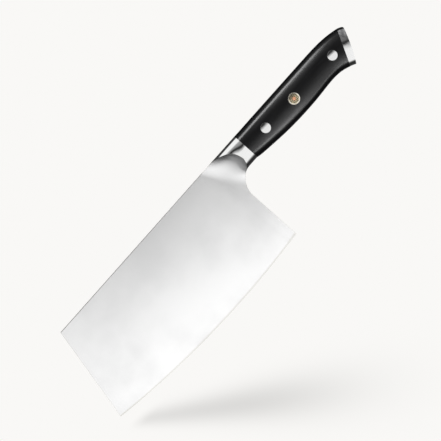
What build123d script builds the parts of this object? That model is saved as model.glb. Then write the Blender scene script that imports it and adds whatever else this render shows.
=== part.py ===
"""Meat cleaver: a broad forged blade, a polished bolster, a full tang with riveted scales and an end cap.

Millimetres. +X runs from the nose of the blade to the butt, +Z from the edge to the spine, and Y is
the thickness, so a knife held edge down and nose away has its left side on -Y. The origin is at the
middle of the overall length, on the mid-plane, level with the lowest point of the edge.
"""

from build123d import *
from math import asin, cos, degrees, pi, radians, sin, sqrt, tan
import os

# ---- driving dimensions: blade ----
edge_length = 178.9  # heel to toe, along X
belly_from_heel = 61.8  # where the edge is lowest
edge_radius = 706.0
spine_height = 81.0  # above the lowest point of the edge
nose_lean = 12.8  # degrees, spine behind toe
spine_thickness = 2.5  # above the heel
edge_shoulder = 0.8  # thickness straight below that, level with the lowest point of the edge
nose_thinning = 0.36  # how much thinner the blade is above the toe than above the heel
edge_bevel = 15.0  # degrees, each side
edge_flat = 0.05
choil_radius = 15.5  # behind the heel, up to the bolster

# ---- driving dimensions: ramp from the blade up to the bolster ----
ramp_radius = 26.0
ramp_lean = 58.2  # degrees between the ramp and the spine
ramp_from_heel = 15.1  # where the ramp starts on the spine
ramp_start = 2.0  # degrees between the ramp and the blade where they meet
ramp_lap = 1.0  # how far the blade's plate runs on inside the ramp

# ---- driving dimensions: bolster and handle ----
bolster_end = 22.2  # from the heel to the face that the scales meet
bolster_height = 21.9
bolster_width = 18.0
butt_width = 20.0
grip_swell = 0.8  # extra width half way along the grip
crown_radius = 30.0  # of each side's middle
corner_radius = 6.5  # of each side's top and bottom
top_curve_start = 100.0  # from the heel
top_curve_drop = 0.25  # fall of the top line up to there
top_curve_radius = 120.0
grip_belly = 71.7  # from the heel to the deepest point of the grip
grip_belly_radius = 280.0
grip_rise = 3.0  # degrees, from the belly up to the waist
grip_waist = 99.0  # from the heel to the waist, ahead of the butt
grip_waist_radius = 36.0
grip_tail = 27.0  # degrees, from the waist down to the butt
tang_thickness = 2.5
cap_thickness = 4.6
butt_bottom = 117.75  # from the heel to the butt's lower corner
butt_length = 29.6  # lower corner to upper corner, before they are rounded
butt_lean = 28.5  # degrees, upper corner behind the lower one
butt_radius = 145.0
butt_top_corner = 3.6
butt_low_corner = 1.5
butt_corner_slope = 25.0  # degrees, where a rounded corner runs out over the handle's outline

# ---- driving dimensions: rivets and the decorative pin ----
front_rivet_place = (41.4, 12.7)  # behind the heel, and below the spine
rear_rivet_place = (110.8, 13.9)
mosaic_place = (70.1, 13.9)
rivet_head = 7.3
rivet_seat = 6.4  # from the mid-plane to the seat under each head
rivet_barrel = 5.0
rivet_parting = 3.0  # from the mid-plane to where the barrel's end meets the other half's shoulder
rivet_shank = 3.2
rivet_bore_floor = 2.0  # between the bore's floor and the seat under the head
rivet_end_gap = 0.6  # between the shank's end and the bore's floor
mosaic_diameter = 8.5
mosaic_wall = 0.8
mosaic_tubes = 7
mosaic_tube = 1.85
mosaic_tube_wall = 0.4
mosaic_tube_gap = 0.04  # between a small tube and the sleeve
mosaic_rod = 2.6

# ---- dependent sizes ----
grip_bottom = spine_height - bolster_height
bolster_middle = spine_height - bolster_height / 2
reach = 2 * spine_height  # longer than any cut has to go
overrun = 3.0  # how far the handle's blank runs past the butt before it is trimmed
loft_spans = 8


def slope(angle):
    """Unit vector at this many degrees above +X, in a side view."""
    return Vector(cos(radians(angle)), sin(radians(angle)))


# ---- side view of the handle: x is the distance behind the heel and y the height ----
belly_sweep = degrees(asin((grip_belly - bolster_end) / grip_belly_radius))
belly_centre = Vector(grip_belly, grip_bottom + grip_belly_radius * cos(radians(belly_sweep)))
waist_front = grip_waist - grip_waist_radius * sin(radians(grip_rise))
with BuildLine() as under_line:
    belly = CenterArc(belly_centre, grip_belly_radius, 270 - belly_sweep, belly_sweep + grip_rise)
    rise = PolarLine(belly @ 1, (waist_front - (belly @ 1).X) / cos(radians(grip_rise)), grip_rise)
    waist = JernArc(rise @ 1, rise % 1, grip_waist_radius, -(grip_rise + grip_tail))
    tail_length = (butt_bottom - (waist @ 1).X) / cos(radians(grip_tail))
    PolarLine(waist @ 1, tail_length + overrun, -grip_tail)
butt_low = waist @ 1 + slope(-grip_tail) * tail_length
butt_high = butt_low + slope(90 - butt_lean) * butt_length

with BuildLine() as top_line:
    straight = Line((bolster_end, spine_height), (top_curve_start, spine_height - top_curve_drop))
    top_curve_run = butt_high.X + overrun - top_curve_start
    JernArc(straight @ 1, straight % 1, top_curve_radius, -degrees(asin(top_curve_run / top_curve_radius)))

# Everything ahead of the butt's face, which is slightly convex with a rounded corner at each end
with BuildSketch() as butt_trim:
    with BuildLine():
        RadiusArc(butt_low, butt_high, -butt_radius)
        Polyline(
            butt_high,
            butt_high + slope(180 - butt_corner_slope) * reach,
            butt_low - slope(0) * 2 * reach,
            butt_low + slope(180 + butt_corner_slope) * reach,
            butt_low,
        )
    make_face()
    fillet(butt_trim.vertices().sort_by_distance(butt_high)[0], butt_top_corner)
    fillet(butt_trim.vertices().sort_by_distance(butt_low)[0], butt_low_corner)

# ---- place of the heel, and the side-view plane that is measured from it ----
overall_length = edge_length + butt_trim.sketch.bounding_box().max.X
heel = edge_length - overall_length / 2
side = Plane.XZ.shift_origin((heel, 0, 0))
centre_plane = Plane.XZ
left_of_tang = Plane.XZ.offset(tang_thickness / 2)
right_of_tang = -Plane.XZ.offset(-tang_thickness / 2)


def in_row(point, y=0.0):
    """Point of a side view, measured from the heel, as a point of the model."""
    point = Vector(point)
    return Vector(heel + point.X, y, point.Y)


def barrel(height, width):
    """Section of the bolster and handle: crowned sides, rounded into short flats at top and bottom."""
    crown_middle = width / 2 - crown_radius
    corner_y = height / 2 - corner_radius
    gap = crown_radius - corner_radius
    corner_x = crown_middle + sqrt(gap**2 - corner_y**2)
    meet_x = crown_middle + (corner_x - crown_middle) * crown_radius / gap
    meet_y = corner_y * crown_radius / gap
    with BuildSketch() as section:
        with BuildLine():
            right = ThreePointArc((meet_x, -meet_y), (width / 2, 0), (meet_x, meet_y))
            TangentArc(right @ 1, (corner_x, height / 2), tangent=right % 1)
            Line((corner_x, height / 2), (-corner_x, height / 2))
            TangentArc((-corner_x, height / 2), (-meet_x, meet_y), tangent=(-1, 0))
            left = ThreePointArc((-meet_x, meet_y), (-width / 2, 0), (-meet_x, -meet_y))
            TangentArc(left @ 1, (-corner_x, -height / 2), tangent=left % 1)
            Line((-corner_x, -height / 2), (corner_x, -height / 2))
            TangentArc((corner_x, -height / 2), (meet_x, -meet_y), tangent=(1, 0))
        make_face()
    return section.sketch


def cross_plane(low, high):
    """Plane across the handle through two points of its side view, with its local y from low to high."""
    up = in_row(high) - in_row(low)
    return Plane(in_row((low + high) / 2), x_dir=(0, 1, 0), z_dir=Vector(0, 1, 0).cross(up))


# ---- blank of the handle, from the bolster to the trimmed butt: its pieces are cut from this ----
with BuildPart() as handle_blank:
    for station in range(loft_spans + 1):
        along = station / loft_spans
        low, high = under_line.wire() @ along, top_line.wire() @ along
        width = bolster_width + (butt_width - bolster_width) * along + grip_swell * sin(pi * along)
        with BuildSketch(cross_plane(low, high)):
            add(barrel((high - low).length, width))
    loft()
    with BuildSketch(side):
        add(butt_trim.sketch)
    extrude(amount=reach, both=True, mode=Mode.INTERSECT)

# ---- cheeks of the blade: planes that thin it towards the edge and the nose ----
taper_down = (spine_thickness - edge_shoulder) / 2 / spine_height
taper_nose = nose_thinning / 2 / edge_length
left_cheek = Plane(
    in_row((0, spine_height), -spine_thickness / 2),
    x_dir=(1, -taper_nose, 0),
    z_dir=(-taper_nose, -1, -taper_down),
)
right_cheek = Plane(
    in_row((0, spine_height), spine_thickness / 2),
    x_dir=(1, taper_nose, 0),
    z_dir=(-taper_nose, 1, -taper_down),
)

# ---- ramp: a hollow grind that leans across the blade, and leaves its cheek at a slight angle ----
ramp_across = slope(90 - ramp_lean)
ramp_foot = ramp_radius * sin(radians(ramp_start))  # from the grind's deepest line to the cheek
ramp_deepest = Vector(-ramp_from_heel, 0) - ramp_across * ramp_foot
ramp_middle = ramp_deepest + Vector(0, 0, ramp_radius * cos(radians(ramp_start)))
ramp_next = ramp_middle + slope(-ramp_lean)
grind_middle = left_cheek.from_local_coords(ramp_middle)
grind_plane = Plane(grind_middle, z_dir=left_cheek.from_local_coords(ramp_next) - grind_middle)
ramp_limit = Plane(in_row(ramp_deepest + (0, spine_height)), z_dir=(ramp_across.X, 0, ramp_across.Y))

with BuildPart() as ramp_grind:
    with BuildSketch(grind_plane):
        Circle(ramp_radius)
    extrude(amount=reach, both=True)
    mirror(about=centre_plane)

# ---- ramp and bolster in one: the barrel, with its lower half turned down behind the heel ----
choil_middle = Vector(choil_radius, grip_bottom - choil_radius)
choil_to_crown = bolster_middle - choil_middle.Y
barrel_front = Vector(-2 * ramp_from_heel, bolster_middle)
section_halves = split(barrel(bolster_height, bolster_width), bisect_by=Plane.XZ, keep=Keep.BOTH)
lower_half, upper_half = section_halves.faces().sort_by(Axis.Y)
with BuildPart() as ramp_and_bolster:
    with BuildSketch(cross_plane(Vector(bolster_end, grip_bottom), Vector(bolster_end, spine_height))):
        add(upper_half)
    extrude(amount=barrel_front.X - bolster_end)
    with BuildSketch(cross_plane(Vector(bolster_end, grip_bottom), Vector(bolster_end, spine_height))):
        add(lower_half)
    extrude(amount=choil_radius - bolster_end)
    with BuildSketch(cross_plane(Vector(choil_radius, grip_bottom), Vector(choil_radius, spine_height))):
        add(lower_half)
    revolve(axis=Axis(in_row(choil_middle), (0, -1, 0)), revolution_arc=90)
    with BuildSketch(side):
        with BuildLine():
            Polyline(
                (choil_radius, bolster_middle),
                barrel_front,
                (barrel_front.X, choil_middle.Y),
                (choil_radius - choil_to_crown, choil_middle.Y),
            )
            CenterArc(choil_middle, choil_to_crown, 90, 90)
        make_face()
    extrude(amount=bolster_width / 2, both=True)
    split(bisect_by=ramp_limit, keep=Keep.TOP)
    add(ramp_grind.part, mode=Mode.SUBTRACT)

# The hollow of the left ramp, carried straight through: the bolster begins where it runs out
left_ramp = ramp_and_bolster.faces().sort_by(SortBy.AREA)[-2:].sort_by(Axis.Y)[0]
with BuildPart() as ramp_shadow:
    extrude(left_ramp, amount=2 * bolster_width, dir=(0, 1, 0), both=True)

# ---- blade ----
edge_middle = Vector(-belly_from_heel, edge_radius)
toe_sweep = degrees(asin((edge_length - belly_from_heel) / edge_radius))
heel_sweep = degrees(asin(belly_from_heel / edge_radius))
bevel_height = (spine_thickness - edge_flat / 2) / tan(radians(edge_bevel))

with BuildPart() as ramp:
    add(ramp_and_bolster.part)
    add(ramp_shadow.part, mode=Mode.INTERSECT)

with BuildPart() as blade:
    with BuildSketch(side):
        with BuildLine():
            edge = CenterArc(edge_middle, edge_radius, 270 - toe_sweep, toe_sweep + heel_sweep)
            nose_run = (spine_height - (edge @ 0).Y) * tan(radians(nose_lean))
            Polyline(
                edge @ 0,
                (nose_run - edge_length, spine_height),
                (choil_radius, spine_height),
                (choil_radius, grip_bottom),
            )
            CenterArc(choil_middle, choil_radius, 90, 90)
            Line((0, choil_middle.Y), edge @ 1)
        make_face()
    extrude(amount=spine_thickness, both=True)
    split(bisect_by=left_cheek, keep=Keep.BOTTOM)
    split(bisect_by=right_cheek, keep=Keep.BOTTOM)
    split(bisect_by=ramp_limit.offset(ramp_foot + ramp_lap), keep=Keep.BOTTOM)
    with BuildSketch(Plane(in_row((-belly_from_heel, 0)), x_dir=(0, 1, 0), z_dir=(1, 0, 0))):
        with BuildLine():
            Polyline(
                (0, 0),
                (edge_flat / 2, 0),
                (spine_thickness, bevel_height),
                (spine_thickness, reach),
                (0, reach),
                close=True,
            )
        make_face()
        mirror(about=Plane.YZ)
    revolve(axis=Axis(in_row(edge_middle), (0, 1, 0)), mode=Mode.INTERSECT)
    add(ramp.part)

with BuildPart() as bolster:
    add(ramp_and_bolster.part)
    add(ramp_shadow.part, mode=Mode.SUBTRACT)


# ---- rivets and the decorative pin ----
def pin_plane(place, y):
    """Plane across a pin's axis: place is behind the heel and below the spine, and y is right of the mid-plane."""
    return Plane(in_row((place[0], spine_height - place[1]), y), x_dir=(1, 0, 0), z_dir=(0, 1, 0))


def bar(place, diameter, start, end):
    """Round bar across the handle, between two distances right of the mid-plane."""
    with BuildPart() as piece:
        with BuildSketch(pin_plane(place, start)):
            Circle(diameter / 2)
        extrude(amount=end - start)
    return piece.part


def rivet_female(place):
    """Left half of a rivet: a head flush with the left scale, and a bored barrel."""
    with BuildPart() as piece:
        add(bar(place, rivet_head, -bolster_width, -rivet_seat))
        add(handle_blank.part, mode=Mode.INTERSECT)
        add(bar(place, rivet_barrel, -rivet_seat, rivet_parting))
        add(bar(place, rivet_shank, rivet_bore_floor - rivet_seat, rivet_parting), mode=Mode.SUBTRACT)
    return piece.part


def rivet_male(place):
    """Right half of a rivet: a head flush with the right scale, a shoulder and a shank."""
    with BuildPart() as piece:
        add(bar(place, rivet_head, rivet_seat, bolster_width))
        add(handle_blank.part, mode=Mode.INTERSECT)
        add(bar(place, rivet_barrel, rivet_parting, rivet_seat))
        shank_end = rivet_bore_floor + rivet_end_gap - rivet_seat
        add(bar(place, rivet_shank, shank_end, rivet_parting))
    return piece.part


with BuildPart() as fastener_holes:
    for place in (front_rivet_place, rear_rivet_place):
        add(bar(place, rivet_barrel, -rivet_seat, rivet_seat))
        add(bar(place, rivet_head, -bolster_width, -rivet_seat))
        add(bar(place, rivet_head, rivet_seat, bolster_width))
    add(bar(mosaic_place, mosaic_diameter, -bolster_width, bolster_width))

mosaic_bore = mosaic_diameter - 2 * mosaic_wall
tube_circle = mosaic_bore / 2 - mosaic_tube_gap - mosaic_tube / 2


def mosaic_bars(diameter, positions):
    """Bars of this diameter at places around the pin's middle, cut flush with the scales."""
    with BuildPart() as bars:
        with BuildSketch(pin_plane(mosaic_place, -bolster_width)):
            with positions:
                Circle(diameter / 2)
        extrude(amount=2 * bolster_width)
        add(handle_blank.part, mode=Mode.INTERSECT)
    return bars.part


with BuildPart() as mosaic_sleeve:
    add(mosaic_bars(mosaic_diameter, Locations((0, 0))))
    add(mosaic_bars(mosaic_bore, Locations((0, 0))), mode=Mode.SUBTRACT)

with BuildPart() as mosaic_ring_tubes:
    add(mosaic_bars(mosaic_tube, PolarLocations(tube_circle, mosaic_tubes)))
    tube_bore = mosaic_tube - 2 * mosaic_tube_wall
    add(mosaic_bars(tube_bore, PolarLocations(tube_circle, mosaic_tubes)), mode=Mode.SUBTRACT)

with BuildPart() as mosaic_centre_rod:
    add(mosaic_bars(mosaic_rod, Locations((0, 0))))

with BuildPart() as mosaic_resin:
    add(mosaic_bars(mosaic_bore, Locations((0, 0))))
    add(mosaic_ring_tubes.part, mode=Mode.SUBTRACT)
    add(mosaic_centre_rod.part, mode=Mode.SUBTRACT)

# ---- tang, scales and end cap ----
cap_joint = cross_plane(butt_low, butt_high).offset(-cap_thickness)

with BuildPart() as grip:
    add(handle_blank.part)
    split(bisect_by=cap_joint, keep=Keep.BOTTOM)
    add(fastener_holes.part, mode=Mode.SUBTRACT)

with BuildPart() as tang:
    add(grip.part)
    split(bisect_by=left_of_tang, keep=Keep.BOTTOM)
    split(bisect_by=right_of_tang, keep=Keep.BOTTOM)

with BuildPart() as scale_left:
    add(grip.part)
    split(bisect_by=left_of_tang, keep=Keep.TOP)

with BuildPart() as scale_right:
    add(grip.part)
    split(bisect_by=right_of_tang, keep=Keep.TOP)

with BuildPart() as end_cap:
    add(handle_blank.part)
    split(bisect_by=cap_joint, keep=Keep.TOP)

# ---- labels and files ----
pieces = {
    "blade": blade.part,
    "bolster": bolster.part,
    "tang": tang.part,
    "scale_left": scale_left.part,
    "scale_right": scale_right.part,
    "end_cap": end_cap.part,
    "front_rivet_female": rivet_female(front_rivet_place),
    "front_rivet_male": rivet_male(front_rivet_place),
    "rear_rivet_female": rivet_female(rear_rivet_place),
    "rear_rivet_male": rivet_male(rear_rivet_place),
    "mosaic_sleeve": mosaic_sleeve.part,
    "mosaic_ring_tubes": mosaic_ring_tubes.part,
    "mosaic_centre_rod": mosaic_centre_rod.part,
    "mosaic_resin": mosaic_resin.part,
}
os.makedirs("parts", exist_ok=True)
for name, piece in pieces.items():
    piece.label = name
    export_step(piece, f"parts/{name}.step")
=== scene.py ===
"""Looks of a meat cleaver: satin blade, polished bolster and end cap, black riveted scales and a mosaic pin.

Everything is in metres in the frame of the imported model: +X from the nose to the butt, +Z from the
edge to the spine, and -Y the left side.
"""

import logging
import math
from dataclasses import dataclass, field, replace
from enum import Enum
from typing import Sequence

import bpy
from mathutils import Matrix, Vector

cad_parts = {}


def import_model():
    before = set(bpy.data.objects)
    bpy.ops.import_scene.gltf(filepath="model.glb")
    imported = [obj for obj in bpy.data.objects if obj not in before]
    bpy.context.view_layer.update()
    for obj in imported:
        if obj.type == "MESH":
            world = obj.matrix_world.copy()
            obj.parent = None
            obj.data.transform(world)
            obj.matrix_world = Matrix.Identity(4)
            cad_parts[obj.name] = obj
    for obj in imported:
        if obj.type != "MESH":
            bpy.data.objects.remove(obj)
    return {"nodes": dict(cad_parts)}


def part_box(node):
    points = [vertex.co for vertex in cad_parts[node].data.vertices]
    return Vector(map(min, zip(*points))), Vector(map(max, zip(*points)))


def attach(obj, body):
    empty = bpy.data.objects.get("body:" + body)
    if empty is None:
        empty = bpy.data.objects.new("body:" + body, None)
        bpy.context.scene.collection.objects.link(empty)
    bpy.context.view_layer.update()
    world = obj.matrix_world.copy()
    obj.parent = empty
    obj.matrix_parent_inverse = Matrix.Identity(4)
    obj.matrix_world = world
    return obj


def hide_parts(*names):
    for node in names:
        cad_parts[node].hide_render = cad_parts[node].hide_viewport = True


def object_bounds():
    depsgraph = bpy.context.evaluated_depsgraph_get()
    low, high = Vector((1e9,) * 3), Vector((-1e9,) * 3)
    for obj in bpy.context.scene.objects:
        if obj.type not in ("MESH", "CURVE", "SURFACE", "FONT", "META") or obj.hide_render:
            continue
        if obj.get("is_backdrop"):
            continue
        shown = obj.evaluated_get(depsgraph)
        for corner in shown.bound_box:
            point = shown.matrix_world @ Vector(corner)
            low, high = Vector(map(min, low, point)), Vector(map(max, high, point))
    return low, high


BODY = "root"
MM = 0.001
WELD = 0.001 * MM  # points nearer than this are one point
FLAT = 0.02  # radians between two triangles that are one flat face

log = logging.getLogger("cleaver")

Colour = tuple[float, float, float]


class Slot(Enum):
    """Material slots that the finishes belong to."""

    SATIN_STEEL = "satin_steel"
    POLISHED_STEEL = "polished_steel"
    BLACK_SCALE = "black_scale"
    RIVET_STEEL = "rivet_steel"
    BRASS = "mosaic_brass"
    COPPER = "mosaic_copper"
    RESIN = "mosaic_resin"


class Graph:
    """Node tree of a material or a world while it is being wired."""

    def __init__(self, tree: bpy.types.NodeTree) -> None:
        """Starts from an empty tree."""
        self.tree = tree
        tree.nodes.clear()

    def node(self, kind: str, **given: object) -> bpy.types.Node:
        """Adds a node.

        Args:
            kind: Class name of the node, without its ShaderNode prefix.
            given: Settings by name, and wires, a dict from an input's name or number to its value or socket.

        Returns:
            The new node.
        """
        made = self.tree.nodes.new("ShaderNode" + kind)
        wired = given.pop("wires", {})
        for name, value in given.items():
            setattr(made, name, value)
        for socket, value in wired.items():
            if isinstance(value, bpy.types.NodeSocket):
                self.tree.links.new(value, made.inputs[socket])
            else:
                made.inputs[socket].default_value = value
        return made

    def maths(self, operation: str, *values: object, clamp: bool = False) -> bpy.types.NodeSocket:
        """Adds a Math node.

        Args:
            operation: Name of the operation.
            values: Its inputs, as numbers or sockets.
            clamp: Whether the result is kept from 0 to 1.

        Returns:
            The socket of the result.
        """
        return self.node("Math", operation=operation, use_clamp=clamp, wires=dict(enumerate(values))).outputs[0]

    def spread(
        self, value: bpy.types.NodeSocket, low: float, high: float, to_low: float, to_high: float
    ) -> bpy.types.NodeSocket:
        """Maps a value smoothly from one range to another.

        Args:
            value: The socket to map.
            low: Start of its range.
            high: End of its range.
            to_low: Result at the start.
            to_high: Result at the end.

        Returns:
            The socket of the mapped value.
        """
        return self.node(
            "MapRange", interpolation_type="SMOOTHSTEP", wires={0: value, 1: low, 2: high, 3: to_low, 4: to_high}
        ).outputs[0]

    def axis(self, vector: bpy.types.NodeSocket, name: str) -> bpy.types.NodeSocket:
        """Takes one axis of a vector.

        Args:
            vector: The socket of the vector.
            name: X, Y or Z.

        Returns:
            The socket of its share along that axis.
        """
        return self.node("SeparateXYZ", wires={0: vector}).outputs[name]

    def ramp(self, value: bpy.types.NodeSocket, stops: Sequence[tuple[float, Colour]]) -> bpy.types.NodeSocket:
        """Colours a value from 0 to 1.

        Args:
            value: The socket to colour.
            stops: Places and their colours, in order.

        Returns:
            The socket of the colour.
        """
        made = self.node("ValToRGB", wires={0: value})
        elements = made.color_ramp.elements
        while len(elements) > 1:
            elements.remove(elements[-1])
        for number, (place, colour) in enumerate(stops):
            element = elements[0] if number == 0 else elements.new(place)
            element.position = place
            element.color = (*colour, 1.0)
        return made.outputs[0]

    def noise(
        self,
        where: bpy.types.NodeSocket,
        scale: float,
        stretch: Sequence[float] = (1.0, 1.0, 1.0),
        detail: float = 3.0,
        roughness: float = 0.5,
    ) -> bpy.types.NodeSocket:
        """Adds a noise pattern.

        Args:
            where: Coordinates that it is read at.
            scale: Features per metre, about.
            stretch: How much finer it is along each axis.
            detail: Number of finer layers.
            roughness: Weight of the finer layers.

        Returns:
            The socket of the pattern, about 0.5 on average.
        """
        placed = self.node("Mapping", wires={0: where, 3: tuple(stretch)}).outputs[0]
        wires = {"Vector": placed, "Scale": scale, "Detail": detail, "Roughness": roughness}
        return self.node("TexNoise", wires=wires).outputs[0]

    def mix(self, share: object, first: object, second: object) -> bpy.types.NodeSocket:
        """Mixes two colours.

        Args:
            share: How much of the second one, as a number or a socket.
            first: A colour or a socket.
            second: A colour or a socket.

        Returns:
            The socket of the mixed colour.
        """
        made = self.node("Mix", data_type="RGBA")
        for socket, value in ((0, share), (6, first), (7, second)):
            if isinstance(value, bpy.types.NodeSocket):
                self.tree.links.new(value, made.inputs[socket])
            else:
                made.inputs[socket].default_value = value if socket == 0 else (*value, 1.0)
        return made.outputs[2]

    def worn_edge(self, radius: float, full: float = 0.8) -> bpy.types.NodeSocket:
        """Finds the edges of a piece.

        Args:
            radius: How far from an edge the mask reaches, for wear and for the satin steel's painted dark outline.
            full: Likeness of the rounded and the plain normal at which the wear is full.

        Returns:
            A socket that is 0 on open faces and rises to 1 at the edges.
        """
        rounded = self.node("Bevel", samples=4, wires={0: radius}).outputs[0]
        plain = self.node("NewGeometry").outputs["Normal"]
        bend = self.node("VectorMath", operation="DOT_PRODUCT", wires={0: rounded, 1: plain}).outputs["Value"]
        return self.spread(bend, 0.995 + 0.02 * (0.8 - full), full, 0.0, 1.0)


def material(name: str) -> tuple[bpy.types.Material, Graph, bpy.types.NodeSocket]:
    """Starts a material.

    Args:
        name: Its name.

    Returns:
        The material, its graph, and the socket of its object coordinates.
    """
    made = bpy.data.materials.new(name)
    made.use_nodes = True
    graph = Graph(made.node_tree)
    return made, graph, graph.node("TexCoord").outputs["Object"]


def finish_with(graph: Graph, wires: dict[str, object], heights: Sequence[tuple[bpy.types.NodeSocket, float]]) -> None:
    """Adds the surface shader and its output.

    Args:
        graph: The material's graph.
        wires: Inputs of the shader, by name.
        heights: Patterns that raise the surface, each with its depth in metres.
    """
    normal = None
    for height, depth in heights:
        wires_of_bump = {"Height": height, "Strength": 1.0, "Distance": depth}
        if normal is not None:
            wires_of_bump["Normal"] = normal
        normal = graph.node("Bump", wires=wires_of_bump).outputs[0]
    if normal is not None:
        wires = {**wires, "Normal": normal}
    shader = graph.node("BsdfPrincipled", wires=wires)
    graph.node("OutputMaterial", wires={"Surface": shader.outputs[0]})


@dataclass(frozen=True)
class SatinSteel:
    """Steel ground across its width with a fine belt, faintly marked by handling, with painted dark reflection on the
    steep ramp and rounded edges, and a painted dark outline along its worn edges.
    """

    name: str = "satin_steel"
    bright: Colour = (0.455, 0.455, 0.454)
    dull: Colour = (0.385, 0.385, 0.387)
    ground: Colour = (0.37, 0.37, 0.375)
    # Colour of the painted dark outline along the edges, where wear also makes them smoother.
    worn: Colour = (0.25, 0.242, 0.222)
    # Near-black of the painted dark reflection on the blade's rounded edges.
    painted_rim_reflection: Colour = (0.03, 0.03, 0.03)
    # Colour of the painted dark reflection on the steep ramp.
    painted_ramp_reflection: Colour = (0.04, 0.04, 0.042)
    smudging: float = 0.42
    grinding: float = 0.16
    # Share of the painted dark outline at the edges.
    painted_outline_share: float = 0.75
    wear_reach: float = 0.75 * MM
    # Share of the steel colour kept under the painted dark reflection on the ramp.
    ramp_steel_kept: float = 0.52
    # Strength of the painted dark reflection on the rounded edges, and where along the cleaver it fades out before the
    # bolster.
    rim: float = 0.9
    rim_end: tuple[float, float] = (0.010, 0.014)
    edge_heights: tuple[float, float] = (0.003, 0.012)
    roughness: float = 0.36
    belt_depth: float = 0.006 * MM

    def build(self) -> bpy.types.Material:
        """Returns the material."""
        made, graph, where = material(self.name)
        brushing = graph.noise(where, 260.0, (14.0, 1.0, 0.7), detail=4.0, roughness=0.7)
        clouds = graph.noise(where, 16.0, (1.0, 1.0, 1.2), detail=4.0, roughness=0.55)
        smudge = graph.spread(clouds, 0.38, 0.68, 0.0, 1.0)
        # Edges darker and smoother, less so near the cutting edge: the darkening is a painted dark outline, the
        # smoothness is wear.
        above_edge = graph.spread(graph.axis(where, "Z"), *self.edge_heights, 0.8, 1.0)
        wear = graph.maths("MULTIPLY", graph.worn_edge(self.wear_reach, 0.93), above_edge)
        colour = graph.mix(graph.maths("MULTIPLY", smudge, self.smudging), self.bright, self.dull)
        colour = graph.mix(graph.maths("MULTIPLY", brushing, self.grinding), colour, self.ground)
        colour = graph.mix(graph.maths("MULTIPLY", wear, self.painted_outline_share), colour, self.worn)
        # Painted dark reflection on the blade's rounded edges and bevels, between the flat sides and the spine.
        normal = graph.node("NewGeometry").outputs["Normal"]
        flatness = graph.maths("ABSOLUTE", graph.axis(normal, "Y"))
        off_side = graph.spread(flatness, 0.985, 0.88, 0.0, 1.0)
        off_spine = graph.spread(flatness, 0.1, 0.3, 0.0, 1.0)
        ahead = graph.spread(graph.axis(where, "X"), *self.rim_end, self.rim, 0.0)
        painted_rim_mask = graph.maths("MULTIPLY", graph.maths("MULTIPLY", off_side, off_spine), ahead)
        colour = graph.mix(painted_rim_mask, colour, self.painted_rim_reflection)
        # Painted dark reflection where the surface turns towards the nose, chiefly on the steep ramp under the arch.
        steep = graph.spread(graph.axis(normal, "X"), -0.06, -0.46, 0.0, 1.0)
        colour = graph.mix(graph.maths("MULTIPLY", steep, 1.0 - self.ramp_steel_kept), colour, self.painted_ramp_reflection)
        rough = graph.maths("MULTIPLY_ADD", smudge, 0.05, self.roughness - 0.03)
        rough = graph.maths("MULTIPLY_ADD", brushing, 0.06, rough)
        rough = graph.maths("MULTIPLY_ADD", wear, -0.1, rough)
        wires = {"Base Color": colour, "Metallic": 1.0, "Roughness": rough}
        finish_with(graph, wires, [(brushing, self.belt_depth)])
        return made


@dataclass(frozen=True)
class PolishedSteel:
    """Mirror-polished steel with hairlines from wiping, and a patchy painted dark reflection where it faces up if that
    is given.
    """

    name: str = "polished_steel"
    base: Colour = (0.93, 0.93, 0.925)
    hazed: Colour = (0.80, 0.80, 0.81)
    scratched: Colour = (0.6, 0.6, 0.61)
    # Colour of the painted dark reflection where the surface faces up.
    painted_reflection_colour: Colour = (0.06, 0.06, 0.065)
    roughness: float = 0.045
    # Strength of that painted dark reflection; 0 leaves it out.
    painted_reflection: float = 0.0
    hazing: float = 0.12
    scratching: float = 0.06
    wear_reach: float = 0.25 * MM
    scratch_depth: float = 0.0006 * MM

    def build(self) -> bpy.types.Material:
        """Returns the material."""
        made, graph, where = material(self.name)
        hairlines = graph.noise(where, 900.0, (1.0, 3.0, 6.0), detail=2.0, roughness=0.6)
        lines = graph.spread(hairlines, 0.52, 0.7, 0.0, 1.0)
        haze = graph.noise(where, 120.0, detail=3.0)
        wear = graph.worn_edge(self.wear_reach)
        colour = graph.mix(graph.maths("MULTIPLY", haze, self.hazing), self.base, self.hazed)
        colour = graph.mix(graph.maths("MULTIPLY", lines, self.scratching), colour, self.scratched)
        # Painted dark reflection: darker where the surface faces up, in patches.
        if self.painted_reflection:
            facing = graph.axis(graph.node("NewGeometry").outputs["Normal"], "Z")
            drift = graph.noise(where, 330.0, (1.0, 1.0, 0.6), detail=2.0)
            shaded = graph.spread(graph.maths("MULTIPLY_ADD", drift, 0.04, facing), -0.09, 0.12, 0.0, self.painted_reflection)
            patchy = graph.spread(drift, 0.35, 0.65, 0.75, 1.2)
            colour = graph.mix(graph.maths("MULTIPLY", shaded, patchy, clamp=True), colour, self.painted_reflection_colour)
        rough = graph.maths("MULTIPLY_ADD", haze, 0.05, self.roughness - 0.025)
        rough = graph.maths("MULTIPLY_ADD", lines, 0.05, rough)
        rough = graph.maths("MULTIPLY_ADD", wear, 0.1, rough)
        wires = {"Base Color": colour, "Metallic": 1.0, "Roughness": rough}
        finish_with(graph, wires, [(lines, self.scratch_depth)])
        return made


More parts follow.
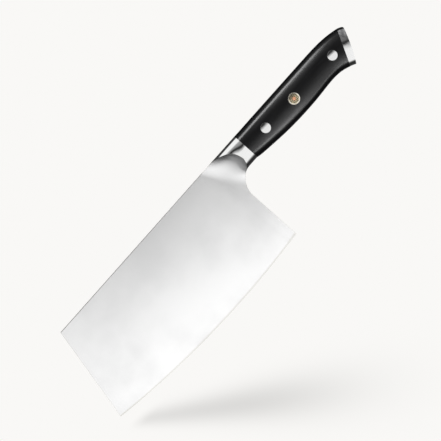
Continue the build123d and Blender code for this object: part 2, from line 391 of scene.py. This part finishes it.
@dataclass(frozen=True)
class BlackScale:
    """Black moulded scale, rubbed to a soft sheen, with a fine grain along its length."""

    name: str = "black_scale"
    base: Colour = (0.0013, 0.0013, 0.0014)
    worn: Colour = (0.0045, 0.0045, 0.0048)
    rubbed: Colour = (0.06, 0.06, 0.062)
    grain_share: float = 0.35
    rubbed_share: float = 0.35
    wear_reach: float = 0.5 * MM
    roughness: float = 0.255
    grain_depth: float = 0.01 * MM
    speck_depth: float = 0.004 * MM

    def build(self) -> bpy.types.Material:
        """Returns the material."""
        made, graph, where = material(self.name)
        grain = graph.noise(where, 420.0, (0.12, 1.0, 1.0), detail=5.0, roughness=0.65)
        specks = graph.noise(where, 2600.0, detail=1.0)
        patches = graph.noise(where, 55.0, detail=3.0)
        wear = graph.worn_edge(self.wear_reach)
        streak = graph.spread(grain, 0.45, 0.75, 0.0, 1.0)
        colour = graph.mix(graph.maths("MULTIPLY", streak, self.grain_share), self.base, self.worn)
        colour = graph.mix(graph.maths("MULTIPLY", wear, self.rubbed_share), colour, self.rubbed)
        rough = graph.maths("MULTIPLY_ADD", patches, 0.08, self.roughness - 0.04)
        rough = graph.maths("MULTIPLY_ADD", grain, 0.06, rough)
        finish_with(
            graph,
            {"Base Color": colour, "Roughness": rough, "IOR": 1.5, "Specular IOR Level": 0.10},
            [(grain, self.grain_depth), (specks, self.speck_depth)],
        )
        return made


@dataclass(frozen=True)
class SoftMetal:
    """Brass or copper cut flush and polished, with a little tarnish."""

    name: str
    base: Colour
    tarnish: Colour
    roughness: float = 0.2
    wear_reach: float = 0.12 * MM
    turning_depth: float = 0.003 * MM

    def build(self) -> bpy.types.Material:
        """Returns the material."""
        made, graph, where = material(self.name)
        stain = graph.noise(where, 700.0, detail=4.0, roughness=0.6)
        turning = graph.noise(where, 5000.0, (1.0, 0.2, 1.0), detail=1.0)
        wear = graph.worn_edge(self.wear_reach)
        colour = graph.mix(graph.spread(stain, 0.4, 0.75, 0.0, 0.7), self.base, self.tarnish)
        colour = graph.mix(graph.maths("MULTIPLY", wear, 0.4), colour, self.tarnish)
        rough = graph.maths("MULTIPLY_ADD", stain, 0.14, self.roughness - 0.07)
        wires = {"Base Color": colour, "Metallic": 1.0, "Roughness": rough}
        finish_with(graph, wires, [(turning, self.turning_depth)])
        return made


@dataclass(frozen=True)
class Resin:
    """Dark casting resin with fine metal dust."""

    name: str = "mosaic_resin"
    base: Colour = (0.022, 0.018, 0.008)
    dust: Colour = (0.12, 0.09, 0.04)
    cloudy: Colour = (0.05, 0.045, 0.02)
    grain_depth: float = 0.004 * MM

    def build(self) -> bpy.types.Material:
        """Returns the material."""
        made, graph, where = material(self.name)
        grains = graph.noise(where, 6000.0, detail=2.0)
        clouds = graph.noise(where, 900.0, detail=3.0)
        sparkle = graph.spread(grains, 0.58, 0.7, 0.0, 0.8)
        colour = graph.mix(sparkle, self.base, self.dust)
        colour = graph.mix(graph.spread(clouds, 0.4, 0.7, 0.0, 0.5), colour, self.cloudy)
        rough = graph.maths("MULTIPLY_ADD", clouds, 0.2, 0.2)
        finish_with(graph, {"Base Color": colour, "Roughness": rough}, [(grains, self.grain_depth)])
        return made


@dataclass(frozen=True)
class PaleFloor:
    """Matt pale paper."""

    name: str = "pale_floor"
    base: Colour = (0.90, 0.895, 0.885)
    clouded: Colour = (0.84, 0.835, 0.825)
    fibre_depth: float = 0.03 * MM

    def build(self) -> bpy.types.Material:
        """Returns the material."""
        made, graph, where = material(self.name)
        fibre = graph.noise(where, 900.0, detail=3.0)
        clouds = graph.noise(where, 3.0, detail=2.0)
        colour = graph.mix(graph.maths("MULTIPLY", clouds, 0.06), self.base, self.clouded)
        rough = graph.maths("MULTIPLY_ADD", fibre, 0.1, 0.8)
        finish_with(graph, {"Base Color": colour, "Roughness": rough}, [(fibre, self.fibre_depth)])
        return made


def dress(piece: bpy.types.Object, made: bpy.types.Material) -> None:
    """Gives a piece one material all over.

    Args:
        piece: The piece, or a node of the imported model.
        made: The material.
    """
    if not piece.material_slots:
        piece.data.materials.append(made)
    for slot in piece.material_slots:
        slot.material = made


@dataclass(frozen=True)
class Softbox:
    """Area light of even brightness: its place, what it faces, its size and its radiance."""

    place: tuple[float, float, float]
    aim: tuple[float, float, float]
    width: float
    height: float
    radiance: float

    def on_side(self, sign: float) -> "Softbox":
        """Returns the same softbox for the left side, or its mirror image for the right side.

        Args:
            sign: 1 for the left side and -1 for the right side.
        """
        place, aim = ((x, sign * y, z) for x, y, z in (self.place, self.aim))
        return replace(self, place=place, aim=aim)


@dataclass(frozen=True)
class CastShadow:
    """Soft shadow painted on a see-through card before the backdrop.

    Its middle is measured from the lowest corner of the cleaver's box. The card that holds it ends above the floor,
    and the shadow fades out below that end.
    """

    from_toe: tuple[float, float] = (0.0620, -0.0481)
    behind: float = 0.03
    card: float = 0.6
    rise: float = -0.1417
    width: float = 0.00863
    spread: float = 0.069
    ahead: float = 0.057
    back: float = 0.0908
    depth: float = 0.245
    above: float = 2.5 * MM
    fade: float = 9.5 * MM


@dataclass
class Studio:
    """Camera, floor and light around the cleaver."""

    roll: float = math.radians(48.44)
    distance: float = 6.0
    view_width: float = 0.3113
    sensor: float = 0.036
    aim_from_middle: tuple[float, float] = (-0.00455, 0.00845)
    clip: tuple[float, float] = (0.05, 50.0)
    floor_size: float = 4.0
    floor_gap: float = 0.02 * MM
    floor_box: Softbox = Softbox((0.0, 0.0, 1.6), (0.0, 0.0, 0.0), 2.6, 2.6, 1.12)
    backdrop: Colour = (0.9473, 0.9387, 0.9216)
    butt_glow: Colour = (0.72, 0.72, 0.72)
    butt_turn: tuple[float, float] = (0.45, 0.8)
    shade: CastShadow = CastShadow()
    bands: tuple[tuple[float, float], ...] = (
        (-180, 0.97), (-168, 0.90), (-158, 0.30), (-145, 0.05), (-88, 0.02), (-72, 0.12), (-63, 0.45), (-55, 0.80),
        (-47, 0.95), (1, 0.92), (5.4, 0.40), (8.5, 0.03), (11.5, 0.03), (14, 0.20), (16, 0.30), (20, 0.31), (26, 0.42),
        (31, 0.65), (38, 0.90), (45, 0.97), (90, 0.97), (98, 0.08), (125, 0.04), (165, 0.04), (172, 0.30), (176, 0.90),
        (180, 0.97),
    )
    blade_boxes: dict[str, Softbox] = field(default_factory=lambda: {
        "edge": Softbox((-0.08, -0.25, -0.058), (-0.08, 0.0, -0.058), 0.36, 0.20, 1.98),
        "nose": Softbox((-0.194, -0.25, 0.095), (-0.194, 0.0, 0.095), 0.212, 0.12, 1.22),
    })
    scale_boxes: dict[str, Softbox] = field(default_factory=lambda: {
        "top": Softbox((0.09, -0.33, 0.47), (0.09, 0.0, 0.07), 0.13, 0.20, 66.0),
        "low_front": Softbox((0.045, -0.25, -0.14), (0.045, 0.0, 0.065), 0.08, 0.12, 35.0),
        "low_rear": Softbox((0.125, -0.17, -0.18), (0.125, 0.0, 0.06), 0.09, 0.08, 16.0),
        "wash_front": Softbox((0.045, -0.30, -0.06), (0.045, 0.0, 0.065), 0.06, 0.16, 8.5),
        "wash_rear": Softbox((0.115, -0.30, -0.09), (0.115, 0.0, 0.065), 0.10, 0.12, 2.5),
    })

    def camera(self, low: Vector, high: Vector) -> bpy.types.Object:
        """Adds the camera, level with the floor and rolled so that the handle rises to the right.

        Args:
            low: Lowest corner of the cleaver.
            high: Highest corner of the cleaver.

        Returns:
            The camera.
        """
        middle = (low + high) / 2
        aim = Vector((middle.x + self.aim_from_middle[0], 0.0, middle.z + self.aim_from_middle[1]))
        place = Vector((aim.x, -self.distance, low.z - self.floor_gap))
        back = (place - aim).normalized()
        up = Vector((math.sin(self.roll), 0.0, math.cos(self.roll)))
        right = up.cross(back).normalized()
        up = back.cross(right)
        data = bpy.data.cameras.new("camera")
        data.sensor_width = self.sensor / MM
        data.lens = data.sensor_width * (place - aim).length / self.view_width
        data.clip_start, data.clip_end = self.clip
        made = bpy.data.objects.new("camera", data)
        bpy.context.collection.objects.link(made)
        made.matrix_world = Matrix.Translation(place) @ Matrix((right, up, back)).transposed().to_4x4()
        bpy.context.scene.camera = made
        return made

    def floor(self, low: Vector) -> bpy.types.Object:
        """Adds the floor just under the edge.

        Args:
            low: Lowest corner of the cleaver.

        Returns:
            The floor.
        """
        bpy.ops.mesh.primitive_plane_add(size=self.floor_size, location=(0, 0, low.z - self.floor_gap))
        made = bpy.context.active_object
        made.name = "floor"
        bpy.ops.object.transform_apply(location=True, rotation=True, scale=True)
        dress(made, PaleFloor().build())
        made.visible_glossy = made.visible_shadow = False
        made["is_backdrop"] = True
        return made

    def world(self) -> None:
        """Makes the surroundings: a plain backdrop to look at, and bands of light and dark to reflect."""
        made = bpy.data.worlds.new("studio")
        bpy.context.scene.world = made
        made.use_nodes = True
        graph = Graph(made.node_tree)
        direction = graph.node("TexCoord").outputs["Generated"]
        axes = graph.node("SeparateXYZ", wires={0: direction}).outputs
        turn = graph.maths("ARCTAN2", axes["Z"], graph.maths("MULTIPLY", axes["Y"], -1.0))
        share = graph.maths("MULTIPLY_ADD", turn, 0.5 / math.pi, 0.5)
        band = graph.ramp(share, [((angle + 180) / 360, (level,) * 3) for angle, level in self.bands])
        band = graph.mix(graph.spread(axes["X"], *self.butt_turn, 0.0, 1.0), band, self.butt_glow)
        seen = graph.node("LightPath").outputs["Is Camera Ray"]
        colour = graph.mix(seen, band, self.backdrop)
        shader = graph.node("Background", wires={0: colour, 1: 1.0})
        graph.node("OutputWorld", wires={0: shader.outputs[0]})

    def softbox(self, name: str, box: Softbox, receivers: Sequence[bpy.types.Object]) -> None:
        """Adds an area light that lights only some of the pieces.

        Args:
            name: Its name.
            box: Its place, size and brightness.
            receivers: The pieces that it lights.
        """
        data = bpy.data.lights.new(name, "AREA")
        data.shape = "RECTANGLE"
        data.size, data.size_y = box.width, box.height
        data.energy = box.radiance * box.width * box.height * math.pi
        made = bpy.data.objects.new(name, data)
        bpy.context.collection.objects.link(made)
        back = (Vector(box.place) - Vector(box.aim)).normalized()
        right = Vector((1.0, 0.0, 0.0)) if abs(back.x) < 0.9 else Vector((0.0, 1.0, 0.0))
        up = back.cross(right).normalized()
        right = up.cross(back)
        made.matrix_world = Matrix.Translation(box.place) @ Matrix((right, up, back)).transposed().to_4x4()
        made.visible_camera = False
        group = bpy.data.collections.new(name + "_lights")
        for piece in receivers:
            group.objects.link(piece)
        made.light_linking.receiver_collection = group

    def cast_shadow(self, low: Vector) -> None:
        """Adds a painted soft shadow in place of the one that the hanging cleaver would throw, on a card nearly all
        under the floor.

        A level camera sees the floor edge-on and so sees all of the card. Other views see only its faded top.

        Args:
            low: Lowest corner of the cleaver.
        """
        shade = self.shade
        middle = Vector((low.x + shade.from_toe[0], shade.behind, low.z + shade.from_toe[1]))
        bpy.ops.mesh.primitive_plane_add(size=1.0, location=(0, 0, 0), rotation=(math.pi / 2, 0, 0))
        made = bpy.context.active_object
        made.name = "cast_shadow"
        bpy.ops.object.transform_apply(location=True, rotation=True, scale=True)
        made.location = middle
        bpy.ops.transform.resize(value=(shade.card, 1.0, shade.card), center_override=middle)
        bpy.ops.object.transform_apply(location=True, rotation=True, scale=True)
        bpy.ops.object.mode_set(mode="EDIT")
        bpy.ops.mesh.select_all(action="SELECT")
        bpy.ops.mesh.bisect(plane_co=(0, 0, low.z + shade.above), plane_no=(0, 0, 1), clear_outer=True)
        bpy.ops.object.mode_set(mode="OBJECT")
        dark, graph, where = material("cast_shadow")
        placed = graph.node(
            "Mapping", vector_type="TEXTURE", wires={0: where, 1: tuple(middle), 2: (0.0, self.roll + shade.rise, 0.0)}
        ).outputs[0]
        axes = graph.node("SeparateXYZ", wires={0: placed}).outputs
        width = graph.maths("MULTIPLY_ADD", axes["X"], shade.spread, shade.width)
        across = graph.maths("DIVIDE", axes["Z"], width)
        ahead = graph.maths("DIVIDE", graph.maths("MAXIMUM", axes["X"], 0.0), shade.ahead)
        behind = graph.maths("DIVIDE", graph.maths("MINIMUM", axes["X"], 0.0), shade.back)
        along = graph.maths("ADD", ahead, behind)
        squares = graph.maths("ADD", graph.maths("MULTIPLY", across, across), graph.maths("MULTIPLY", along, along))
        depth = graph.maths("EXPONENT", graph.maths("MULTIPLY", squares, -0.5))
        fade = graph.spread(graph.axis(where, "Z"), low.z + shade.above - shade.fade, low.z + shade.above, 1.0, 0.0)
        # Painted shadow: the card lets less of the backdrop through where the shadow is deep.
        level = graph.maths("MULTIPLY_ADD", graph.maths("MULTIPLY", depth, fade), -shade.depth, 1.0)
        shader = graph.node("BsdfTransparent", wires={0: level})
        graph.node("OutputMaterial", wires={"Surface": shader.outputs[0]})
        dress(made, dark)
        made.visible_diffuse = made.visible_glossy = made.visible_shadow = made.visible_transmission = False
        made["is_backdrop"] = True

    def build(self, low: Vector, high: Vector) -> None:
        """Adds the camera, the floor and the light.

        Args:
            low: Lowest corner of the cleaver.
            high: Highest corner of the cleaver.
        """
        self.camera(low, high)
        floor = self.floor(low)
        self.cast_shadow(low)
        self.world()
        self.softbox("floor_light", self.floor_box, [floor])
        bpy.context.scene.view_settings.view_transform = "Standard"

    def light_pieces(self, pieces: dict[str, bpy.types.Object]) -> None:
        """Adds the softboxes that are aimed at single pieces, in pairs, one for each side of the cleaver.

        Args:
            pieces: The shown pieces, by name.
        """
        for side, sign in (("left", 1.0), ("right", -1.0)):
            for name, box in self.blade_boxes.items():
                self.softbox(f"blade_{name}_{side}", box.on_side(sign), [pieces["blade"]])
            for name, box in self.scale_boxes.items():
                self.softbox(f"scale_{name}_{side}", box.on_side(sign), [pieces[f"scale_{side}"]])


def copy_of(node: bpy.types.Object, name: str) -> bpy.types.Object:
    """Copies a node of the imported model, as one welded mesh, and leaves it the only one selected.

    Args:
        node: The node.
        name: Name of the copy.

    Returns:
        The copy.
    """
    bpy.ops.object.select_all(action="DESELECT")
    made = bpy.data.objects.new(name, node.data.copy())
    made.data.materials.clear()
    bpy.context.collection.objects.link(made)
    bpy.context.view_layer.objects.active = made
    made.select_set(True)
    bpy.ops.mesh.customdata_custom_splitnormals_clear()
    bpy.ops.object.mode_set(mode="EDIT")
    bpy.ops.mesh.select_all(action="SELECT")
    bpy.ops.mesh.remove_doubles(threshold=WELD)
    bpy.ops.mesh.tris_convert_to_quads(face_threshold=FLAT, shape_threshold=1.0)
    bpy.ops.object.mode_set(mode="OBJECT")
    return made


@dataclass(frozen=True)
class Rounding:
    """How the sharp edges of a piece are rounded, and which of them.

    Only edges farther than thin from the mid-plane, and between first and last along the cleaver, are rounded.
    """

    width: float
    segments: int = 2
    angle: float = math.radians(30.0)
    thin: float = -1.0
    first: float = -1.0
    last: float = 1.0
    clamped: bool = True

    def takes(self, low: Vector, high: Vector) -> bool:
        """Tells whether an edge is rounded if it is sharp.

        Args:
            low: One end of the edge.
            high: Its other end.
        """
        return all(abs(point.y) > self.thin and self.first < point.x < self.last for point in (low, high))

    def apply(self, piece: bpy.types.Object) -> None:
        """Rounds the edges and shades the rest smooth.

        Args:
            piece: The piece, which is the only one selected.
        """
        mesh = piece.data
        beside: dict[tuple[int, int], list[Vector]] = {}
        for face in mesh.polygons:
            for key in face.edge_keys:
                beside.setdefault(key, []).append(face.normal)
        weights = mesh.attributes.new("bevel_weight_edge", "FLOAT", "EDGE")
        for edge in mesh.edges:
            sides = beside.get(edge.key, [])
            sharp = len(sides) == 2 and sides[0].angle(sides[1], 0.0) > self.angle
            ends = [mesh.vertices[number].co for number in edge.vertices]
            weights.data[edge.index].value = 1.0 if sharp and self.takes(*ends) else 0.0
        rounding = piece.modifiers.new("rounding", "BEVEL")
        rounding.width = self.width
        rounding.segments = self.segments
        rounding.limit_method = "WEIGHT"
        rounding.use_clamp_overlap = self.clamped
        rounding.harden_normals = True
        bpy.ops.object.shade_smooth_by_angle(angle=self.angle)
        bpy.ops.object.modifier_apply(modifier=rounding.name)
        mesh.attributes.remove(mesh.attributes["bevel_weight_edge"])


def stand_for(piece: bpy.types.Object, slot: Slot, *nodes: str) -> None:
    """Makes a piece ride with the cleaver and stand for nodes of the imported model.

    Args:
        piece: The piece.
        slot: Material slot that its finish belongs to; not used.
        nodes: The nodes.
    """
    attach(piece, BODY)
    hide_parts(*nodes)
    log.info("%s stands for %s", piece.name, ", ".join(nodes))


@dataclass(frozen=True)
class Piece:
    """One finished piece: the node that it stands for, its slot, and how its sharp edges are rounded."""

    node: str
    slot: Slot
    rounding: Rounding


class Bench:
    """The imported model's nodes and the finishes, which every sub-assembly is made from."""

    def __init__(self, nodes: dict[str, bpy.types.Object]) -> None:
        """Makes every finish once.

        Args:
            nodes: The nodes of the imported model, by name.
        """
        self.nodes = nodes
        self.finishes = {
            Slot.SATIN_STEEL: SatinSteel().build(),
            Slot.POLISHED_STEEL: PolishedSteel().build(),
            Slot.RIVET_STEEL: PolishedSteel("rivet_steel", (0.86, 0.86, 0.855), roughness=0.06).build(),
            Slot.BLACK_SCALE: BlackScale().build(),
            Slot.BRASS: SoftMetal("mosaic_brass", (0.90, 0.78, 0.52), (0.50, 0.36, 0.17)).build(),
            Slot.COPPER: SoftMetal("mosaic_copper", (0.90, 0.47, 0.28), (0.55, 0.24, 0.12)).build(),
            Slot.RESIN: Resin().build(),
        }

    def start(self, plan: Piece) -> bpy.types.Object:
        """Copies a piece's node, ready to be shaped.

        Args:
            plan: The piece.

        Returns:
            The copy, which is the only object selected.
        """
        return copy_of(self.nodes[plan.node], plan.node + "_finished")

    def finish(self, made: bpy.types.Object, plan: Piece, finish: bpy.types.Material | None = None) -> bpy.types.Object:
        """Rounds a shaped piece, dresses it and lets it stand for its node.

        Args:
            made: The shaped piece, which is the only object selected.
            plan: The piece.
            finish: Its finish, if it isn't its slot's own.

        Returns:
            The piece.
        """
        plan.rounding.apply(made)
        dress(made, finish or self.finishes[plan.slot])
        stand_for(made, plan.slot, plan.node)
        return made


@dataclass
class Ramp:
    """Where the satin ramp rises from the blade's side and meets the polished bolster in an arch.

    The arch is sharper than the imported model's, and the bolster narrows towards its lower edge in front. Shifts and
    the narrowing are in millimetres.
    """

    spine: float
    end: float
    foot_at_spine: float = 9.0 * MM
    foot_lean: float = math.radians(58.2)
    arch_share: float = 0.558
    fade_share: float = 0.35
    shifts: tuple[tuple[float, float], ...] = (
        (0.0, 0.0), (2.7, 0.6), (3.85, 1.3), (5.8, 2.1), (8.0, 2.2), (10.95, 1.5), (13.0, 0.75), (15.2, 0.0),
        (16.7, -1.0), (18.5, -2.0), (20.0, -2.2), (21.9, -1.6), (24.1, 0.0),
    )
    narrowing: float = 0.0105
    narrow_from: float = 3.0
    narrow_span: tuple[float, float] = (32.0, 44.0)
    cut_span: tuple[float, float] = (15.0, 46.0)
    cuts: int = 40
    end_margin: float = 1.0 * MM
    same_surface: float = 0.94
    smoothing: float = 0.5
    smoothings: int = 6

    def cut_across(self) -> None:
        """Cuts the selected piece across at even steps, so that it has the points to be reshaped smoothly."""
        bpy.ops.object.mode_set(mode="EDIT")
        low, high = self.cut_span
        for number in range(self.cuts + 1):
            bpy.ops.mesh.select_all(action="SELECT")
            place = (low + (high - low) * number / self.cuts) * MM
            bpy.ops.mesh.bisect(plane_co=(place, 0.0, 0.0), plane_no=(1.0, 0.0, 0.0))
        bpy.ops.object.mode_set(mode="OBJECT")

    def even_out(self, made: bpy.types.Object) -> None:
        """Smooths the open surface of the ramp, away from its sharp edges.

        Args:
            made: The blade or the bolster, which is the only object selected.
        """
        bpy.ops.object.mode_set(mode="EDIT")
        bpy.ops.mesh.select_mode(type="VERT")
        bpy.ops.mesh.select_all(action="DESELECT")
        bpy.ops.object.mode_set(mode="OBJECT")
        mesh = made.data
        facing: dict[int, list[Vector]] = {}
        for face in mesh.polygons:
            for number in face.vertices:
                facing.setdefault(number, []).append(face.normal)
        for number, normals in facing.items():
            first = normals[0]
            on_ramp = self.cut_span[0] * MM < mesh.vertices[number].co.x < self.end - self.end_margin
            mesh.vertices[number].select = on_ramp and all(first.dot(other) > self.same_surface for other in normals)
        bpy.ops.object.mode_set(mode="EDIT")
        bpy.ops.mesh.vertices_smooth(factor=self.smoothing, repeat=self.smoothings)
        bpy.ops.mesh.select_all(action="SELECT")
        bpy.ops.object.mode_set(mode="OBJECT")

    def shift(self, depth: float) -> float:
        """Returns how far the arch moves towards the butt, on a smooth line through the shifts.

        Args:
            depth: Depth below the spine.
        """
        depth_mm = depth / MM
        if not self.shifts[0][0] < depth_mm < self.shifts[-1][0]:
            return 0.0
        number = max(place for place in range(len(self.shifts) - 1) if self.shifts[place][0] <= depth_mm)
        (low, at_low), (high, at_high) = self.shifts[number], self.shifts[number + 1]
        before, after = self.shifts[max(number - 1, 0)], self.shifts[min(number + 2, len(self.shifts) - 1)]
        slope_low = (at_high - before[1]) / (high - before[0])
        slope_high = (after[1] - at_low) / (after[0] - low)
        gap, share = high - low, (depth_mm - low) / (high - low)
        square, cube = share * share, share * share * share
        return MM * (
            at_low * (2 * cube - 3 * square + 1)
            + slope_low * gap * (cube - 2 * square + share)
            + at_high * (3 * square - 2 * cube)
            + slope_high * gap * (cube - square)
        )

    def reshape(self, made: bpy.types.Object) -> None:
        """Moves the points around the arch, fading out at the ramp's foot and the bolster's end.

        Where the foot lies behind the bolster's end, more than about 60 mm below the spine, rise comes out as 1 and
        the narrowing also thins the low part of the blade's sides. The softboxes for the blade are set to suit that.

        Args:
            made: The blade or the bolster.
        """
        self.cut_across()
        for vertex in made.data.vertices:
            point = vertex.co
            depth = self.spine - point.z
            foot = self.foot_at_spine + depth / math.tan(self.foot_lean)
            arch = foot + self.arch_share * (self.end - foot)
            rise = min(max((point.x - foot) / (arch - foot), 0.0), 1.0)
            rise *= rise * (3 - 2 * rise)
            fall = min(max((self.end - point.x) / (self.fade_share * (self.end - arch)), 0.0), 1.0)
            low, high = self.narrow_span
            taper = min(max((high - point.x / MM) / (high - low), 0.0), 1.0)
            taper *= taper * (3 - 2 * taper)
            point.y *= 1 - self.narrowing * max(depth / MM - self.narrow_from, 0.0) * taper * rise
            point.x += self.shift(depth) * rise * fall
        self.even_out(made)


@dataclass
class Steelwork:
    """Blade with its ramp, bolster and tang, which are welded into one."""

    blade: Piece = Piece(
        "blade", Slot.SATIN_STEEL, Rounding(0.30 * MM, 3, thin=0.32 * MM, last=12 * MM, clamped=False)
    )
    bolster: Piece = Piece("bolster", Slot.POLISHED_STEEL, Rounding(0.12 * MM, first=44.5 * MM))
    tang: Piece = Piece("tang", Slot.SATIN_STEEL, Rounding(0.10 * MM))

    def build(self, bench: Bench) -> dict[str, bpy.types.Object]:
        """Builds the three pieces.

        Args:
            bench: The nodes and the finishes.

        Returns:
            The pieces, by node.
        """
        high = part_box(self.bolster.node)[1]
        ramp = Ramp(high.z, high.x)
        made = {}
        for plan in (self.blade, self.bolster):
            piece = bench.start(plan)
            ramp.reshape(piece)
            made[plan.node] = bench.finish(piece, plan)
        made[self.tang.node] = bench.finish(bench.start(self.tang), self.tang)
        return made


@dataclass
class Handle:
    """Two black scales and the end cap at the butt."""

    scales: tuple[Piece, ...] = (
        Piece("scale_left", Slot.BLACK_SCALE, Rounding(0.15 * MM)),
        Piece("scale_right", Slot.BLACK_SCALE, Rounding(0.15 * MM)),
    )
    cap: Piece = Piece("end_cap", Slot.POLISHED_STEEL, Rounding(0.18 * MM))
    shoulder_from: float = 3.9 * MM
    shoulder_drop: float = 1.4 * MM
    shoulder_height: float = 4.0 * MM
    # Strength of the painted dark reflection on the end cap's upward faces.
    cap_painted_reflection: float = 0.72
    cap_roughness: float = 0.10

    def ease_shoulder(self, made: bpy.types.Object) -> None:
        """Lowers the end cap's upper corner a little, so that it turns down into the butt more softly.

        Args:
            made: The end cap.
        """
        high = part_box(self.cap.node)[1]
        for vertex in made.data.vertices:
            point = vertex.co
            back = min(max((point.x - high.x + self.shoulder_from) / self.shoulder_from, 0.0), 1.0)
            up = min(max((point.z - high.z + self.shoulder_height) / self.shoulder_height, 0.0), 1.0)
            point.z -= self.shoulder_drop * back * back * up

    def build(self, bench: Bench) -> dict[str, bpy.types.Object]:
        """Builds the scales and the end cap.

        Args:
            bench: The nodes and the finishes.

        Returns:
            The pieces, by node.
        """
        made = {plan.node: bench.finish(bench.start(plan), plan) for plan in self.scales}
        cap = bench.start(self.cap)
        self.ease_shoulder(cap)
        painted_reflection_colour = PolishedSteel("end_cap_steel", roughness=self.cap_roughness, painted_reflection=self.cap_painted_reflection).build()
        made[self.cap.node] = bench.finish(cap, self.cap, painted_reflection_colour)
        return made


@dataclass
class Rivets:
    """Front and rear rivets, each a male and a female half pressed together, ground flush with the scales."""

    places: tuple[str, ...] = ("front", "rear")
    halves: tuple[str, ...] = ("female", "male")
    rounding: Rounding = Rounding(0.10 * MM)

    def build(self, bench: Bench) -> dict[str, bpy.types.Object]:
        """Builds the four halves.

        Args:
            bench: The nodes and the finishes.

        Returns:
            The pieces, by node.
        """
        made = {}
        for place in self.places:
            for half in self.halves:
                plan = Piece(f"{place}_rivet_{half}", Slot.RIVET_STEEL, self.rounding)
                made[plan.node] = bench.finish(bench.start(plan), plan)
        return made


@dataclass
class MosaicPin:
    """Brass sleeve with seven small tubes around a copper rod, cast in dark resin."""

    sleeve: Piece = Piece("mosaic_sleeve", Slot.BRASS, Rounding(0.05 * MM))
    tubes: Piece = Piece("mosaic_ring_tubes", Slot.BRASS, Rounding(0.03 * MM))
    rod: Piece = Piece("mosaic_centre_rod", Slot.COPPER, Rounding(0.05 * MM))
    resin: str = "mosaic_resin"
    pale_brass: Colour = (0.97, 0.92, 0.80)
    pale_tarnish: Colour = (0.62, 0.52, 0.34)

    def build(self, bench: Bench) -> dict[str, bpy.types.Object]:
        """Builds the metal pieces and dresses the resin.

        Args:
            bench: The nodes and the finishes.

        Returns:
            The pieces, by node.
        """
        pale = SoftMetal("mosaic_pale_brass", self.pale_brass, self.pale_tarnish).build()
        made = {self.sleeve.node: bench.finish(bench.start(self.sleeve), self.sleeve, pale)}
        for plan in (self.tubes, self.rod):
            made[plan.node] = bench.finish(bench.start(plan), plan)
        dress(bench.nodes[self.resin], bench.finishes[Slot.RESIN])
        log.info("%s dressed", self.resin)
        return made


def main() -> None:
    """Builds the cleaver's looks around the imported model."""
    logging.basicConfig(level=logging.INFO, format="%(name)s: %(message)s")
    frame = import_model()
    cad_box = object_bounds()
    bpy.ops.object.select_all(action="DESELECT")
    studio = Studio()
    studio.build(*cad_box)
    bench = Bench(frame["nodes"])
    pieces: dict[str, bpy.types.Object] = {}
    for part in (Steelwork(), Handle(), Rivets(), MosaicPin()):
        pieces.update(part.build(bench))
        log.info("%s is done", type(part).__name__)
    studio.light_pieces(pieces)


if __name__ == "__main__":
    main()
